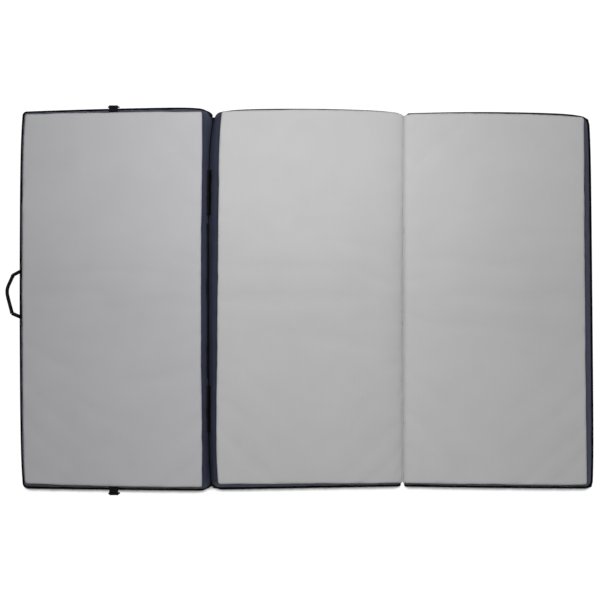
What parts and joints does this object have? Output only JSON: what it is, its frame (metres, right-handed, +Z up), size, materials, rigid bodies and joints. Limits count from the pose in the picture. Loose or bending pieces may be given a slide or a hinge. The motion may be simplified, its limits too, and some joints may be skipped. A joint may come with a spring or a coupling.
{
  "type": "bouldering crash pad",
  "caption": "Large foam bouldering pad that folds in three panels, with a side carry handle, closing straps and a carrying harness under one panel.",
  "frame": {"origin": "centre of the centre panel's underside, on the ground", "axes": "+X along the open pad from the handle's end to the plain end, +Y along the panels towards the north ends, +Z up"},
  "size_m": [1.608, 1.0624, 0.102],
  "materials": {
    "grey_cloth": "plain woven polyester, matt",
    "slate_cloth": "plain woven nylon, matt",
    "black_cloth": "coarse coated nylon, matt",
    "black_webbing": "flat woven webbing, slight sheen",
    "firm_foam": "closed-cell foam, smooth skin",
    "soft_foam": "open-cell foam, cut face",
    "steel": "blackened, satin",
    "black_plastic": "moulded, fine texture"
  },
  "bodies": {
    "centre_panel": {"centre_top_cover": "grey_cloth", "centre_side_band": "slate_cloth", "centre_bottom_cover": "black_cloth", "centre_top_foam": "firm_foam", "centre_core_foam": "soft_foam", "centre_base_foam": "firm_foam", "centre_piping": "black_webbing", "bottom_hinge_strip": "black_cloth", "top_hinge_band": "grey_cloth", "north_hook_tape": "black_webbing", "south_hook_tape": "black_webbing", "centre_zip": "black_cloth"},
    "left_panel": {"left_top_cover": "grey_cloth", "left_side_band": "slate_cloth", "left_bottom_cover": "black_cloth", "left_top_foam": "firm_foam", "left_core_foam": "soft_foam", "left_base_foam": "firm_foam", "left_piping": "black_webbing", "north_loop_tape": "black_cloth", "south_loop_tape": "black_cloth", "left_zip": "black_cloth", "north_handle_patch": "black_cloth", "south_handle_patch": "black_cloth", "north_handle_leg": "black_webbing", "south_handle_leg": "black_webbing", "north_closure_tab": "black_webbing", "south_closure_tab": "black_webbing"},
    "right_panel": {"right_top_cover": "grey_cloth", "right_side_band": "slate_cloth", "right_bottom_cover": "black_cloth", "right_top_foam": "firm_foam", "right_core_foam": "soft_foam", "right_base_foam": "firm_foam", "right_piping": "black_webbing", "right_zip": "black_cloth", "north_closure_strap": "black_webbing", "south_closure_strap": "black_webbing", "harness_yoke": "black_cloth", "west_shoulder_pad": "black_cloth", "east_shoulder_pad": "black_cloth", "west_ladder_lock": "black_plastic", "east_ladder_lock": "black_plastic", "west_lower_webbing": "black_webbing", "east_lower_webbing": "black_webbing", "west_belt_webbing": "black_webbing", "east_belt_webbing": "black_webbing", "belt_buckle_socket": "black_plastic"},
    "side_handle": {"side_handle_grip": "black_webbing", "side_handle_core": "black_webbing"},
    "north_receiver_frame": {"north_receiver": "steel"},
    "south_receiver_frame": {"south_receiver": "steel"},
    "north_hook": {"north_closure_hook": "steel"},
    "south_hook": {"south_closure_hook": "steel"},
    "buckle_plug": {"belt_buckle_plug": "black_plastic"},
    "left_slider": {"left_zip_slider": "steel"},
    "centre_slider": {"centre_zip_slider": "steel"},
    "right_slider": {"right_zip_slider": "steel"}
  },
  "joints": [
    {"name": "left_fold", "type": "hinge", "parent": "centre_panel", "child": "left_panel", "pos_m": [-0.268, 0, -0.0005], "axis": [0, -1, 0], "range_deg": [-20, 180], "deforming": ["bottom_hinge_strip"]},
    {"name": "right_fold", "type": "hinge", "parent": "centre_panel", "child": "right_panel", "pos_m": [0.268, 0, 0.1025], "axis": [0, -1, 0], "range_deg": [-5, 180], "deforming": ["top_hinge_band"]},
    {"name": "handle_swing", "type": "hinge", "parent": "left_panel", "child": "side_handle", "pos_m": [-0.78173, 0.01482, 0.057], "axis": [0, -1, 0], "range_deg": [-30, 30], "stiffness_Nm_per_rad": 0.6, "deforming": ["north_handle_leg", "south_handle_leg"]},
    {"name": "north_receiver_swing", "type": "hinge", "parent": "left_panel", "child": "north_receiver_frame", "pos_m": [-0.528, 0.52671, 0.07538], "axis": [1, 0, 0], "range_deg": [-15, 150]},
    {"name": "south_receiver_swing", "type": "hinge", "parent": "left_panel", "child": "south_receiver_frame", "pos_m": [-0.528, -0.52671, 0.07538], "axis": [-1, 0, 0], "range_deg": [-15, 150]},
    {"name": "north_hook_swing", "type": "hinge", "parent": "right_panel", "child": "north_hook", "pos_m": [0.528, 0.25, 0.005], "axis": [1, 0, 0], "range_deg": [0, 90]},
    {"name": "south_hook_swing", "type": "hinge", "parent": "right_panel", "child": "south_hook", "pos_m": [0.528, -0.25, 0.005], "axis": [-1, 0, 0], "range_deg": [0, 90]},
    {"name": "belt_release", "type": "slide", "parent": "right_panel", "child": "buckle_plug", "axis": [1, 0, 0], "range_m": [0, 0.026], "deforming": ["east_belt_webbing"]},
    {"name": "left_zip_travel", "type": "slide", "parent": "left_panel", "child": "left_slider", "axis": [0, 1, 0], "range_m": [0, 0.405]},
    {"name": "centre_zip_travel", "type": "slide", "parent": "centre_panel", "child": "centre_slider", "axis": [0, 1, 0], "range_m": [0, 0.87]},
    {"name": "right_zip_travel", "type": "slide", "parent": "right_panel", "child": "right_slider", "axis": [0, 1, 0], "range_m": [0, 0.87]}
  ]
}
